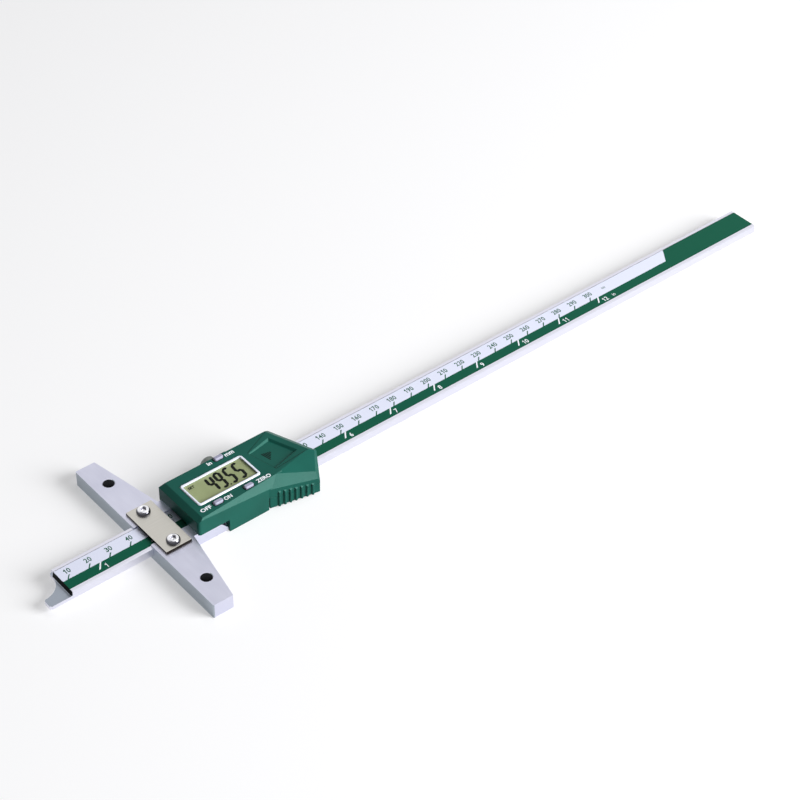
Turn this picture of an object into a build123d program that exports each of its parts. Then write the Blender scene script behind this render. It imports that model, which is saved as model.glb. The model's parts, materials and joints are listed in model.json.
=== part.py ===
from build123d import *
import os
from math import atan2, cos, degrees, hypot, radians, sin, tan

# Digital depth gauge with a narrow-nosed beam, 0 to 300 mm, in millimetres.
# X = 0 is the measuring face of the base, which faces -X, and +X runs along the beam to its
# far end.  Y = 0 is the middle of the beam, with the lock screw on the +Y side.
# Z = 0 is the underside of the base.

os.makedirs("parts", exist_ok=True)

# ---------------------------------------------------------------- driving sizes
# Fits
slide_gap = 0.05  # between the beam and every wall of its channel
seat_gap = 0.10  # between a fixed piece and the pocket that holds it
shank_gap = 0.05  # radial, between a screw and its hole
lid_gap = 0.12  # between the battery cover and the opening round it

# Beam, with the scale film and the grating strip let into its top
reading = 49.55  # depth from the measuring face to the tip of the nose
beam_length = 408.5
beam_width = 16.0
beam_height = 4.0
beam_chamfer = 0.35
nose_length = 10.5
nose_height = 1.7
nose_arc = 9.3  # radius of the hollow that narrows the beam to its nose
nose_tip_width = 5.0
nose_corner = 0.8
nose_shoulder = 1.7  # straight edge between the hollow and the far side of the beam
nose_root_radius = 1.0
film_width = 12.5
film_gap = 0.18  # each side of the film and the grating strip
film_thickness = 0.2
grating_thickness = 1.0

# Base and slider, ground from one piece, with a channel for the beam
base_length = 100.0
base_height = 7.5
base_end_depth = 9.6
base_taper = 0.195  # how fast the back edge runs out towards the middle
base_edge = 0.4
channel_floor = 2.85  # metal left under the beam
base_hole_radius = 2.5
base_hole_spacing = 70.6
base_hole_setback = 7.1
base_hole_chamfer = 0.3
slider_width = 26.2
slider_rear = 76.0
slider_bottom = 0.7
relief_front = 34.0  # where the near side is milled back to take the housing's skirt
relief_slope = 5.1  # how far in front of it the sloping start reaches, at the top
relief_foot = 2.1  # height of the foot of that slope
relief_depth = 1.8

# Gib, which takes up the play at the far side of the beam, and its set screws
gib_thickness = 0.8
gib_height = 3.6
gib_front = 20.0
gib_rear = 74.0
gib_screw_radius = 1.2
gib_screw_spots = (30.0, 63.0)
gib_screw_sink = 0.3  # below the slider's side
gib_socket_radius = 0.75
gib_socket_depth = 1.4

# Bridge plate across the channel
plate_front = 2.0
plate_depth = 12.6
plate_length = 29.4
plate_thickness = 1.2
plate_edge = 0.15
plate_screw_spacing = 21.5
plate_screw_radius = 1.45
plate_screw_length = 4.6
plate_head_radius = 3.1
plate_head_height = 2.1
plate_socket_radius = 1.25
plate_socket_depth = 1.2

# Lock screw
lock_x = 48.2
lock_radius = 1.45
lock_neck_radius = 1.7
lock_neck_length = 3.0
lock_knob_radius = 3.5
lock_knob_length = 6.2
lock_knob_edge = 0.4

# Housing: a faceted moulded shell on the slider
housing_front = 18.6
housing_near = 14.0  # from the middle of the beam to the near side
housing_far = 14.65  # and to the far side
housing_top = 15.3
housing_wall = 1.4
housing_roof = 1.5
front_bevel = 2.7  # in X
front_bevel_drop = 1.6
far_bevel = 1.2  # in Y
far_bevel_drop = 2.0
rear_bevel = 2.8
rear_bevel_drop = 1.9
rear_corner_radius = 1.5  # upright edge between the far side and the rear
near_edge_front = 0.6  # how far the roof's near edge stands in at the front
near_edge_rear = 3.05  # and where the flare begins
near_edge_drop = 3.5  # height of the near bevel where the flare begins
ridge_x = 60.9  # roof corner between the near bevel and the flare
flare_x = 56.5  # foot of that ridge on the near side
flare_depth = 4.8  # how far the flare stands out at its rear end
flare_rear = 78.1
flare_facet_drop = 6.95
cheek_x = 77.7  # corner shared by the flare, the cheek and the end facet
cheek_y = -16.1
cheek_drop = 4.3
end_front_drop = 8.2  # the end facet's foot, at the flare
end_rear_drop = 2.3  # and at the point of the rear
roof_rear_x = 81.2  # rear corner of the roof on the near side
roof_rear_y = -6.9
rear_far_x = 75.65  # where the far side meets the rear
rear_near_x = 84.4  # the point of the rear
rear_near_y = -8.3
skirt_drop = 0.8  # how far the sides hang over the slider
near_skirt_front = 34.25
near_skirt_rear = 54.7
near_skirt_bottom = 0.15
parting_front = 6.95  # height of the joint between the housing and the grip, at the grip's front
parting_rear = 5.65  # and at the rear end of the flare
near_corner_radius = 1.5  # upright front edges
far_corner_radius = 0.4
cavity_rear = 56.2
divider_thickness = 1.4
deck_thickness = 1.2  # shelf under the battery cover
bay_wall = 1.2
bay_gap = 0.5  # between the cell and the walls of its bay

# Thumb grip under the flare
grip_bottom = 0.8
grip_gap = 0.18
grip_slit = 0.5  # in front of the grip
grip_corner_radius = 0.5
rib_count = 7
rib_pitch = 2.6
rib_start = 4.8  # from the front of the flare to the first rib, along the flare
rib_radius = 0.65
rib_top_drop = 1.75  # from the foot of the flare's facet to the tops of the ribs

# Display
display_x = 40.2
display_y = 0.3
bezel_length = 31.9
bezel_width = 14.9
bezel_corner = 1.5
bezel_proud = 0.4
bezel_edge = 0.3
sight_length = 29.8
sight_width = 13.0
sight_corner = 0.6
window_margin = 0.3  # how far the window reaches under the bezel
window_thickness = 0.7
window_depth = 0.8  # from the bezel's top to the window
lcd_gap = 0.06  # under the window
lcd_length = 30.4
lcd_width = 13.6
lcd_thickness = 1.4
strip_width = 1.6
strip_length = 26.0
strip_spacing = 10.6

# Buttons: name, x, y
button_spots = {
    "unit_button": (47.5, 11.95),
    "power_button": (31.7, -9.9),
    "zero_button": (47.3, -10.0),
}
button_length = 4.5
button_width = 2.2
button_proud = 1.1
button_gap = 0.15
button_corner = 0.9
button_edge = 0.4
button_travel = 0.5
button_flange = 0.7  # beyond each end of the cap, under the roof
button_flange_width = 1.6
button_flange_height = 0.7
button_foot_radius = 0.9
dome_radius = 1.1
dome_height = 0.6

# Circuit board
board_front = 27.0
board_rear = 55.8
board_near = 12.2  # from the middle of the beam to the near edge
board_far = 13.1  # and to the far edge
board_thickness = 1.0
chip_radius = 3.0
chip_height = 1.0

# Battery bay and its sliding cover, laid out square to the rear edge
cover_near = 7.35  # from its middle line to its near edge, at the front
cover_far = 8.1  # and to its far edge
cover_length = 19.5
cover_thickness = 1.5
cover_far_flare = 2.6  # degrees
cover_near_flare = 16.9
cover_front_near = -0.6  # where the slanting front edge starts on the near side
cover_front_far = 1.3  # and on the far side
cover_tongue = 0.9
cover_tongue_height = 0.7
cover_lip = 1.3
cover_lip_drop = 3.0
thumb_recess_front = 0.45  # depth at the front of the cover
thumb_recess_depth = 0.9  # and at the deep end
thumb_recess_low = 1.0  # under the roof, where the recess is laid out
thumb_recess_length = 12.9  # all at that height
thumb_recess_front_span = (-5.9, 6.8)  # across the cover
thumb_recess_rear_span = (-7.7, 5.0)
cover_tongue_reach = 7.3
cover_offset = 9.57  # along the rear edge, from its far corner to the middle of the cover
cell_radius = 5.8
cell_height = 5.4
cell_place = (9.4, -1.2)  # in the cover's own plane
contact_thickness = 0.2
contact_width = 2.4
contact_spread = 3.2  # between the middles of the two contacts
contact_foot = 1.6  # on the circuit board
bay_floor = 0.5

# Cover plug of the data port, on the far side
port_x = 51.7
port_length = 7.5
port_top = 13.2
port_bottom = 8.6
port_proud = 0.4
port_tab_length = 3.2
port_tab_top = 13.5
port_tab_bottom = 11.9
port_tab_proud = 0.75
port_opening_length = 5.0
port_opening_height = 2.8

# Screws that hold the housing to the slider, from below
fixing_spots = ((23.5, 11.0), (23.5, -10.6), (66.0, 11.0), (66.0, -10.6))
fixing_radius = 0.8
fixing_head_radius = 1.5
fixing_head_height = 1.2
fixing_reach = 3.0  # into the housing's bosses
boss_radius = 2.5  # overlaps the side wall

# ---------------------------------------------------------------- derived places
beam_bottom = channel_floor + slide_gap
beam_top = beam_bottom + beam_height
beam_half = beam_width / 2
beam_middle = beam_bottom + beam_height / 2
nose_tip = -reading
nose_root = nose_tip + nose_length
beam_end = nose_tip + beam_length
film_bottom = beam_top - film_thickness
grating_bottom = film_bottom - grating_thickness

base_half = base_length / 2
slider_half = slider_width / 2
hub_rear = base_end_depth + base_taper * base_half
channel_near = beam_half + slide_gap
channel_far = beam_half + 2 * slide_gap + gib_thickness
channel_top = beam_top + slide_gap
plate_top = base_height + plate_thickness
plate_screw_x = plate_front + plate_depth / 2 - 0.2

housing_floor = base_height
housing_edge = housing_floor - skirt_drop
rear_edge = parting_rear - 0.6  # below the whole joint with the grip
ceiling = housing_top - housing_roof
board_top = housing_floor + board_thickness
bezel_top = housing_top + bezel_proud
window_top = bezel_top - window_depth
window_bottom = window_top - window_thickness
lcd_top = window_bottom - lcd_gap
lcd_bottom = lcd_top - lcd_thickness
flare_y = -(housing_near + flare_depth)

# The cover's own plane: its X runs square to the rear edge, its Y along the front of the cover
rear_run = Vector(rear_near_x - rear_far_x, rear_near_y - housing_far)
cover_angle = degrees(atan2(rear_run.X, -rear_run.Y))
cover_way = Vector(cos(radians(cover_angle)), sin(radians(cover_angle)))
cover_across = Vector(-cover_way.Y, cover_way.X)
rear_far_corner = Vector(rear_far_x, housing_far)
cover_origin = rear_far_corner - cover_way * cover_length - cover_across * cover_offset
cover_far_rear = cover_far + cover_length * tan(radians(cover_far_flare))
cover_near_rear = cover_near + cover_length * tan(radians(cover_near_flare))
tongue_far = cover_far + cover_tongue_reach * tan(radians(cover_far_flare))
relief_y = relief_depth - slider_half


def cover_plane(height):
    """The cover's own plane at a height over the base."""
    return Plane(origin=(cover_origin.X, cover_origin.Y, height), x_dir=cover_way, z_dir=(0, 0, 1))


def block(x_span, y_span, z_span, mode=Mode.ADD):
    """A box between two places on each axis."""
    with Locations((x_span[0], y_span[0], z_span[0])):
        Box(
            x_span[1] - x_span[0],
            y_span[1] - y_span[0],
            z_span[1] - z_span[0],
            align=(Align.MIN, Align.MIN, Align.MIN),
            mode=mode,
        )


def facet(a, b, c):
    """The plane through three corners, facing up and out of the housing."""
    normal = (Vector(b) - Vector(a)).cross(Vector(c) - Vector(a))
    return Plane(origin=a, z_dir=normal if normal.Z > 0 else normal * -1)


# ---------------------------------------------------------------- beam
with BuildPart() as beam:
    with BuildSketch(Plane.XY.offset(beam_bottom)):
        with BuildLine():
            hollow = CenterArc(
                (nose_root - nose_arc - 0.6, beam_half - nose_shoulder), nose_arc, 0, -90
            )
            shoulder = Line(hollow @ 0, (nose_root - 0.6, beam_half))
            Polyline(
                shoulder @ 1,
                (beam_end, beam_half),
                (beam_end, -beam_half),
                (nose_tip + nose_corner, -beam_half),
                (nose_tip, nose_corner - beam_half),
                (nose_tip, nose_tip_width - nose_corner - beam_half),
                hollow @ 1,
            )
        make_face()
    extrude(amount=beam_height)
    long_edges = beam.edges().filter_by(Axis.X).group_by(Axis.Z)[-1]
    chamfer(long_edges, beam_chamfer)
    block(
        (nose_root, beam_end + 1),
        (-film_width / 2, film_width / 2),
        (grating_bottom, beam_top + 1),
        Mode.SUBTRACT,
    )
    with BuildSketch(Plane.XZ.offset(-beam_half - 1)):
        with BuildLine():
            nose_top = beam_bottom + nose_height
            root = CenterArc(
                (nose_root - nose_root_radius, nose_top + nose_root_radius), nose_root_radius, 0, -90
            )
            Polyline(
                root @ 1,
                (nose_tip - 1, nose_top),
                (nose_tip - 1, beam_top + 1),
                (nose_root, beam_top + 1),
                root @ 0,
            )
        make_face()
    extrude(amount=beam_width + 2, mode=Mode.SUBTRACT)

with BuildPart() as grating_strip:
    block(
        (nose_root, beam_end),
        (film_gap - film_width / 2, film_width / 2 - film_gap),
        (grating_bottom, film_bottom),
    )

with BuildPart() as scale_film:
    block(
        (nose_root, beam_end),
        (film_gap - film_width / 2, film_width / 2 - film_gap),
        (film_bottom, beam_top),
    )

# ---------------------------------------------------------------- base and slider
with BuildPart() as base:
    with BuildSketch():
        with BuildLine():
            Polyline(
                (0, base_half),
                (0, -base_half),
                (base_end_depth, -base_half),
                (hub_rear, 0),
                (base_end_depth, base_half),
                close=True,
            )
        make_face()
    extrude(amount=base_height)
    chamfer(base.edges().filter_by(Axis.Z).group_by(Axis.X)[0], base_edge)
    block((hub_rear / 2, slider_rear), (-slider_half, slider_half), (slider_bottom, base_height))
    chamfer(base.edges().filter_by(Axis.X).group_by(Axis.Z)[0], base_edge)
    with BuildSketch(Plane.XZ.offset(-relief_y)):
        with BuildLine():
            Polyline(
                (relief_front - relief_slope, base_height),
                (relief_front, relief_foot),
                (relief_front, 0),
                (near_skirt_rear, 0),
                (near_skirt_rear, base_height),
                close=True,
            )
        make_face()
    extrude(amount=relief_depth + 1, mode=Mode.SUBTRACT)
    block(
        (-1, slider_rear + 1),
        (-channel_near, channel_near),
        (channel_floor, channel_top),
        Mode.SUBTRACT,
    )
    block(
        (gib_front - seat_gap, slider_rear + 1),
        (0, channel_far),
        (channel_floor, channel_top),
        Mode.SUBTRACT,
    )
    block(
        (-1, slider_rear + 1),
        (-film_width / 2, film_width / 2),
        (channel_top - 0.01, base_height + 1),
        Mode.SUBTRACT,
    )
    with Locations((base_hole_setback, 0, base_height)):
        with GridLocations(0, base_hole_spacing, 1, 2):
            CounterSinkHole(base_hole_radius, base_hole_radius + base_hole_chamfer)
    with Locations((plate_screw_x, 0, base_height)):
        with GridLocations(0, plate_screw_spacing, 1, 2):
            Hole(plate_screw_radius + shank_gap, plate_screw_length + seat_gap)
    gib_holes = [Location((x, slider_half, beam_middle), (-90, 0, 0)) for x in gib_screw_spots]
    with Locations(*gib_holes):
        Hole(gib_screw_radius + shank_gap, slider_half - channel_far + seat_gap)
    with Locations(Location((lock_x, slider_half, beam_middle), (-90, 0, 0))):
        Hole(lock_radius + shank_gap, slider_half - channel_far + seat_gap)
    with Locations(*[Location((x, y, slider_bottom), (180, 0, 0)) for x, y in fixing_spots]):
        CounterBoreHole(
            fixing_radius + shank_gap,
            fixing_head_radius + seat_gap,
            fixing_head_height,
            base_height,
        )

with BuildPart() as gib:
    block(
        (gib_front, gib_rear),
        (beam_half + slide_gap, beam_half + slide_gap + gib_thickness),
        (beam_middle - gib_height / 2, beam_middle + gib_height / 2),
    )

with BuildPart() as gib_screws:
    with BuildSketch(Plane.XZ.offset(gib_screw_sink - slider_half)):
        with Locations(*[(x, beam_middle) for x in gib_screw_spots]):
            Circle(gib_screw_radius)
    extrude(amount=slider_half - gib_screw_sink - channel_far)
    with BuildSketch(Plane.XZ.offset(gib_screw_sink - slider_half)):
        with Locations(*[(x, beam_middle) for x in gib_screw_spots]):
            RegularPolygon(gib_socket_radius, 6)
    extrude(amount=gib_socket_depth, mode=Mode.SUBTRACT)

# ---------------------------------------------------------------- bridge plate
with BuildPart() as bridge_plate:
    with BuildSketch(Plane.XY.offset(base_height)):
        with Locations((plate_front + plate_depth / 2, 0)):
            Rectangle(plate_depth, plate_length)
        with Locations((plate_screw_x, 0)):
            with GridLocations(0, plate_screw_spacing, 1, 2):
                Circle(plate_screw_radius + seat_gap, mode=Mode.SUBTRACT)
    extrude(amount=plate_thickness)
    rim = bridge_plate.faces().sort_by(Axis.Z)[-1].outer_wire().edges()
    chamfer(rim, plate_edge)

with BuildPart() as plate_screws:
    for side in (-1, 1):
        screw_axis = Plane(
            origin=(plate_screw_x, side * plate_screw_spacing / 2, plate_top),
            x_dir=(1, 0, 0),
            z_dir=(0, -1, 0),
        )
        with BuildSketch(screw_axis):
            with BuildLine():
                Polyline(
                    (0, plate_head_height),
                    (0, -plate_thickness - plate_screw_length),
                    (plate_screw_radius, -plate_thickness - plate_screw_length),
                    (plate_screw_radius, 0),
                    (plate_head_radius - 0.2, 0),
                    (plate_head_radius, 0.25),
                    (plate_head_radius, 0.6),
                    (plate_head_radius * 0.92, plate_head_height * 0.55),
                    (plate_head_radius * 0.73, plate_head_height * 0.84),
                    (plate_head_radius * 0.5, plate_head_height),
                    close=True,
                )
            make_face()
        revolve(axis=Axis(screw_axis.origin, (0, 0, 1)))
        with BuildSketch(Plane.XY.offset(plate_top + plate_head_height)):
            with Locations((plate_screw_x, side * plate_screw_spacing / 2)):
                RegularPolygon(plate_socket_radius, 6)
        extrude(amount=-plate_socket_depth, mode=Mode.SUBTRACT)

# ---------------------------------------------------------------- lock screw
with BuildPart() as lock_screw:
    lock_face = Plane(
        origin=(lock_x, channel_far + seat_gap, beam_middle), x_dir=(1, 0, 0), z_dir=(0, 1, 0)
    )
    lock_wall = slider_half - channel_far - seat_gap
    with BuildSketch(lock_face):
        Circle(lock_radius)
    extrude(amount=lock_wall)
    with BuildSketch(lock_face.offset(lock_wall + seat_gap)):
        Circle(lock_neck_radius)
    extrude(amount=lock_neck_length)
    with BuildSketch(lock_face.offset(lock_wall)):
        Circle(lock_radius)
    extrude(amount=seat_gap)
    with BuildSketch(lock_face.offset(lock_wall + seat_gap + lock_neck_length)):
        Circle(lock_knob_radius)
    extrude(amount=lock_knob_length)
    knob_ends = (
        lock_screw.edges()
        .filter_by(GeomType.CIRCLE)
        .filter_by(lambda edge: abs(edge.radius - lock_knob_radius) < 0.01)
    )
    chamfer(knob_ends, lock_knob_edge)

# ---------------------------------------------------------------- housing
flare_top = (ridge_x, near_edge_rear - housing_near, housing_top)
flare_foot = (flare_x, -housing_near, housing_top - near_edge_drop)
roof_front_x = housing_front + front_bevel
roof_corner = (roof_rear_x, roof_rear_y, housing_top)
cheek_corner = (cheek_x, cheek_y, housing_top - cheek_drop)
rear_inner = rear_far_corner - cover_way * rear_bevel
near_facet = facet((roof_front_x, near_edge_front - housing_near, housing_top), flare_top, flare_foot)
flare_facet = facet(flare_top, flare_foot, (flare_rear, flare_y, housing_top - flare_facet_drop))
cheek_facet = facet(flare_top, roof_corner, cheek_corner)
end_facet = facet(
    cheek_corner,
    (flare_rear, flare_y, housing_top - end_front_drop),
    (rear_near_x, rear_near_y, housing_top - end_rear_drop),
)
front_facet = facet(
    (roof_front_x, 0, housing_top),
    (roof_front_x, 1, housing_top),
    (housing_front, 0, housing_top - front_bevel_drop),
)
far_facet = facet(
    (0, housing_far - far_bevel, housing_top),
    (1, housing_far - far_bevel, housing_top),
    (0, housing_far, housing_top - far_bevel_drop),
)
rear_facet = facet(
    (rear_inner.X, rear_inner.Y, housing_top),
    (rear_inner.X + rear_run.X, rear_inner.Y + rear_run.Y, housing_top),
    (rear_far_x, housing_far, housing_top - rear_bevel_drop),
)
parting = facet(
    (near_skirt_rear, 0, parting_front),
    (near_skirt_rear, 1, parting_front),
    (flare_rear, 0, parting_rear),
)


def shell_form(inset):
    """The housing's solid form, brought in on every side by an inset."""
    roof = housing_top - inset
    with BuildPart() as fore:
        block(
            (housing_front + inset, ridge_x + 3),
            (inset - housing_near, housing_far - inset),
            (housing_edge, roof),
        )
        if not inset:
            for place, radius in ((0, near_corner_radius), (-1, far_corner_radius)):
                front_edges = fore.edges().filter_by(Axis.Z).group_by(Axis.X)[0].sort_by(Axis.Y)
                fillet(front_edges[place], radius)
        for plane in (front_facet, far_facet, near_facet):
            split(bisect_by=plane.offset(-inset), keep=Keep.BOTTOM)
    with BuildPart() as rear:
        with BuildSketch(Plane.XY.offset(rear_edge)) as plan:
            with BuildLine():
                Polyline(
                    (flare_x - 4, -housing_near),
                    (near_skirt_rear, -housing_near),
                    (flare_rear, flare_y),
                    (rear_near_x, rear_near_y),
                    (rear_far_x, housing_far),
                    (flare_x - 4, housing_far),
                    close=True,
                )
            make_face()
            if inset:
                offset(amount=-inset, kind=Kind.INTERSECTION, mode=Mode.REPLACE)
            else:
                far_corner = plan.vertices().group_by(Axis.Y)[-1].sort_by(Axis.X)[-1]
                fillet(far_corner, rear_corner_radius)
        extrude(amount=roof - rear_edge)
        for plane in (far_facet, flare_facet, cheek_facet, end_facet, rear_facet):
            split(bisect_by=plane.offset(-inset), keep=Keep.BOTTOM)
    return fore.part + rear.part


def cover_outline(gap):
    """The battery cover's plan in its own plane, grown by a gap, open at the rear."""
    with BuildSketch() as outline:
        with BuildLine():
            Polyline(
                (cover_front_far - gap, cover_far + gap),
                (cover_front_near - gap, -cover_near - gap),
                (cover_length + 2, -cover_near_rear - gap - 2 * tan(radians(cover_near_flare))),
                (cover_length + 2, cover_far_rear + gap + 2 * tan(radians(cover_far_flare))),
                close=True,
            )
        make_face()
    return outline.sketch


def tongue_outline(gap):
    """The battery cover's tongue in its own plane, grown by a gap."""
    rim = cover_tongue + gap
    with BuildSketch() as outline:
        with BuildLine():
            Polyline(
                (cover_front_far - rim, tongue_far + gap),
                (cover_front_near - rim, -cover_near - rim),
                (cover_tongue_reach, -cover_near - rim),
                (cover_tongue_reach, tongue_far + gap),
                close=True,
            )
        make_face()
    return outline.sketch


cover_bottom = housing_top - cover_thickness
lip_bottom = housing_top - cover_lip_drop
deck_bottom = cover_bottom - deck_thickness
bay_bottom = housing_floor + bay_floor
bay_size = 2 * (cell_radius + bay_gap)
cell_bottom = bay_bottom + contact_thickness
cell_spot = cover_origin + cover_way * cell_place[0] + cover_across * cell_place[1]
cell_front = cell_spot.X - cell_radius
contact_y = cell_spot.Y - contact_spread / 2
contact_bend = board_rear + seat_gap
contact_slot_half = (contact_spread + contact_width) / 2 + seat_gap
contact_slot_top = board_top + 2 * contact_thickness
port_middle = (port_bottom + port_top) / 2 - 0.4
flare_way = Vector(flare_rear - near_skirt_rear, flare_y + housing_near).normalized()
rib_spots = [
    Vector(near_skirt_rear, -housing_near) + flare_way * (rib_start + rib_pitch * i)
    for i in range(rib_count)
]
rib_top = Plane(
    origin=(flare_foot[0], flare_foot[1], flare_foot[2] - rib_top_drop),
    z_dir=flare_facet.z_dir,
)
grip_rear = flare_rear + (rear_near_x - flare_rear) * (-slider_half - seat_gap - flare_y) / (
    rear_near_y - flare_y
)

outer_form = shell_form(0)
inner_form = shell_form(housing_wall)

with BuildPart() as front_room:
    add(inner_form)
    split(bisect_by=Plane.YZ.offset(cavity_rear), keep=Keep.BOTTOM)

with BuildPart() as rear_room:
    add(inner_form)
    split(bisect_by=Plane.YZ.offset(cavity_rear + divider_thickness), keep=Keep.TOP)
    split(bisect_by=Plane.XY.offset(deck_bottom), keep=Keep.BOTTOM)
    with BuildSketch(cover_plane(0)):
        with Locations(cell_place):
            Rectangle(bay_size + 2 * bay_wall, bay_size + 2 * bay_wall)
    extrude(amount=housing_top, mode=Mode.SUBTRACT)
    with BuildSketch():
        with Locations(*fixing_spots):
            Circle(boss_radius)
    extrude(amount=housing_top, mode=Mode.SUBTRACT)

# What the housing leaves free for the grip, under the joint between them
with BuildPart() as grip_room:
    block(
        (near_skirt_rear, rear_near_x + 1),
        (flare_y - 1, -slider_half - seat_gap),
        (0, parting_front),
    )
    split(bisect_by=parting, keep=Keep.BOTTOM)

# The ribs run up from the grip over the joint and onto the housing
with BuildPart() as ribs:
    with BuildSketch(Plane.XY.offset(grip_bottom)):
        with Locations(*rib_spots):
            Circle(rib_radius)
    extrude(amount=housing_top - grip_bottom)
    split(bisect_by=rib_top, keep=Keep.BOTTOM)

with BuildPart() as upper_ribs:
    add(ribs.part)
    split(bisect_by=parting, keep=Keep.TOP)

with BuildPart() as housing:
    add(outer_form)
    add(front_room.part, mode=Mode.SUBTRACT)
    add(rear_room.part, mode=Mode.SUBTRACT)
    with BuildSketch(Plane.XY.offset(housing_floor)):
        with Locations(*fixing_spots[:2]):
            Circle(boss_radius)
    extrude(amount=ceiling - housing_floor + 0.1)
    add(grip_room.part, mode=Mode.SUBTRACT)
    block((flare_x - 5, rear_near_x), (0, housing_far + 1), (0, housing_edge), Mode.SUBTRACT)
    # Sit over the slider and clear of the beam behind it
    block(
        (housing_front - 1, rear_near_x + 1),
        (-slider_half - seat_gap, slider_half + seat_gap),
        (0, housing_floor),
        Mode.SUBTRACT,
    )
    block(
        (near_skirt_front, near_skirt_rear - seat_gap),
        (-housing_near, relief_y - seat_gap),
        (near_skirt_bottom, housing_floor),
    )
    with BuildSketch(Plane.XY.offset(housing_floor)):
        with Locations(*fixing_spots):
            Circle(fixing_radius + shank_gap)
    extrude(amount=fixing_reach + seat_gap, mode=Mode.SUBTRACT)
    # Display opening and button wells
    with BuildSketch(Plane.XY.offset(ceiling - 1)):
        with Locations((display_x, display_y)):
            RectangleRounded(bezel_length + 2 * seat_gap, bezel_width + 2 * seat_gap, bezel_corner)
        with Locations(*button_spots.values()):
            RectangleRounded(
                button_length + 2 * button_gap,
                button_width + 2 * button_gap,
                button_corner + button_gap,
            )
    extrude(amount=housing_top, mode=Mode.SUBTRACT)
    # Battery bay, the way for its cover and the slot for its contacts
    with BuildSketch(cover_plane(bay_bottom)):
        with Locations(cell_place):
            RectangleRounded(bay_size, bay_size, cell_radius / 2)
    extrude(amount=housing_top, mode=Mode.SUBTRACT)
    with BuildSketch(cover_plane(cover_bottom - slide_gap)):
        add(cover_outline(lid_gap))
    extrude(amount=housing_top, mode=Mode.SUBTRACT)
    with BuildSketch(cover_plane(cover_bottom - slide_gap)):
        add(tongue_outline(lid_gap))
    extrude(amount=cover_tongue_height + 2 * slide_gap, mode=Mode.SUBTRACT)
    with BuildSketch(cover_plane(lip_bottom - lid_gap)):
        add(cover_outline(lid_gap))
        with Locations((cover_length - cover_lip - lid_gap, 0)):
            Rectangle(60, 60, align=(Align.MAX, Align.CENTER), mode=Mode.SUBTRACT)
    extrude(amount=housing_top, mode=Mode.SUBTRACT)
    block(
        (cavity_rear - 1, cell_front + 1),
        (contact_y - contact_slot_half, contact_y + contact_slot_half),
        (bay_bottom, contact_slot_top),
        Mode.SUBTRACT,
    )
    # Data port in the far wall
    block(
        (port_x - port_opening_length / 2, port_x + port_opening_length / 2),
        (housing_far - 2 * housing_wall, housing_far + 1),
        (port_middle - port_opening_height / 2, port_middle + port_opening_height / 2),
        Mode.SUBTRACT,
    )
    add(upper_ribs.part)

with BuildPart() as thumb_grip:
    with BuildSketch(Plane.XY.offset(grip_bottom)):
        with BuildLine():
            Polyline(
                (near_skirt_rear + grip_slit, -slider_half - seat_gap),
                (near_skirt_rear + grip_slit, -housing_near),
                (flare_rear, flare_y),
                (grip_rear, -slider_half - seat_gap),
                close=True,
            )
        make_face()
    extrude(amount=parting_front - grip_bottom)
    fillet(thumb_grip.edges().filter_by(Axis.Z).group_by(Axis.Y)[0], grip_corner_radius)
    add(ribs.part)
    split(bisect_by=parting.offset(-grip_gap), keep=Keep.BOTTOM)

with BuildPart() as port_plug:
    block(
        (port_x - port_length / 2, port_x + port_length / 2),
        (housing_far, housing_far + port_proud),
        (port_bottom, port_top),
    )
    block(
        (port_x - port_tab_length / 2, port_x + port_tab_length / 2),
        (housing_far, housing_far + port_tab_proud),
        (port_tab_bottom, port_tab_top),
    )
    plug_length = port_opening_length / 2 - seat_gap
    plug_height = port_opening_height / 2 - seat_gap
    block(
        (port_x - plug_length, port_x + plug_length),
        (housing_far - housing_wall, housing_far),
        (port_middle - plug_height, port_middle + plug_height),
    )

with BuildPart() as housing_screws:
    with BuildSketch(Plane.XY.offset(slider_bottom)):
        with Locations(*fixing_spots):
            Circle(fixing_head_radius)
    extrude(amount=fixing_head_height)
    with BuildSketch(Plane.XY.offset(slider_bottom + fixing_head_height)):
        with Locations(*fixing_spots):
            Circle(fixing_radius)
    extrude(amount=housing_floor + fixing_reach - slider_bottom - fixing_head_height)

# ---------------------------------------------------------------- display
with BuildPart() as display_bezel:
    with BuildSketch(Plane.XY.offset(ceiling)):
        with Locations((display_x, display_y)):
            RectangleRounded(bezel_length, bezel_width, bezel_corner)
    extrude(amount=bezel_top - ceiling)
    chamfer(display_bezel.faces().sort_by(Axis.Z)[-1].edges(), bezel_edge)
    with BuildSketch(Plane.XY.offset(ceiling)):
        with Locations((display_x, display_y)):
            Rectangle(lcd_length + 2 * seat_gap, lcd_width + 2 * seat_gap)
    extrude(amount=window_bottom - ceiling, mode=Mode.SUBTRACT)
    with BuildSketch(Plane.XY.offset(window_bottom)):
        with Locations((display_x, display_y)):
            Rectangle(
                sight_length + 2 * (window_margin + seat_gap),
                sight_width + 2 * (window_margin + seat_gap),
            )
    extrude(amount=window_thickness, mode=Mode.SUBTRACT)
    with BuildSketch(Plane.XY.offset(window_top)):
        with Locations((display_x, display_y)):
            RectangleRounded(sight_length, sight_width, sight_corner)
    extrude(amount=window_depth, mode=Mode.SUBTRACT)

with BuildPart() as display_window:
    with BuildSketch(Plane.XY.offset(window_bottom)):
        with Locations((display_x, display_y)):
            Rectangle(sight_length + 2 * window_margin, sight_width + 2 * window_margin)
    extrude(amount=window_thickness)

with BuildPart() as lcd:
    with BuildSketch(Plane.XY.offset(lcd_bottom)):
        with Locations((display_x, display_y)):
            Rectangle(lcd_length, lcd_width)
    extrude(amount=lcd_thickness)

with BuildPart() as contact_strips:
    with BuildSketch(Plane.XY.offset(board_top)):
        with Locations((display_x, display_y)):
            with GridLocations(0, strip_spacing, 1, 2):
                Rectangle(strip_length, strip_width)
    extrude(amount=lcd_bottom - board_top)

with BuildPart() as circuit_board:
    block((board_front, board_rear), (-board_near, board_far), (housing_floor, board_top))

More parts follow.
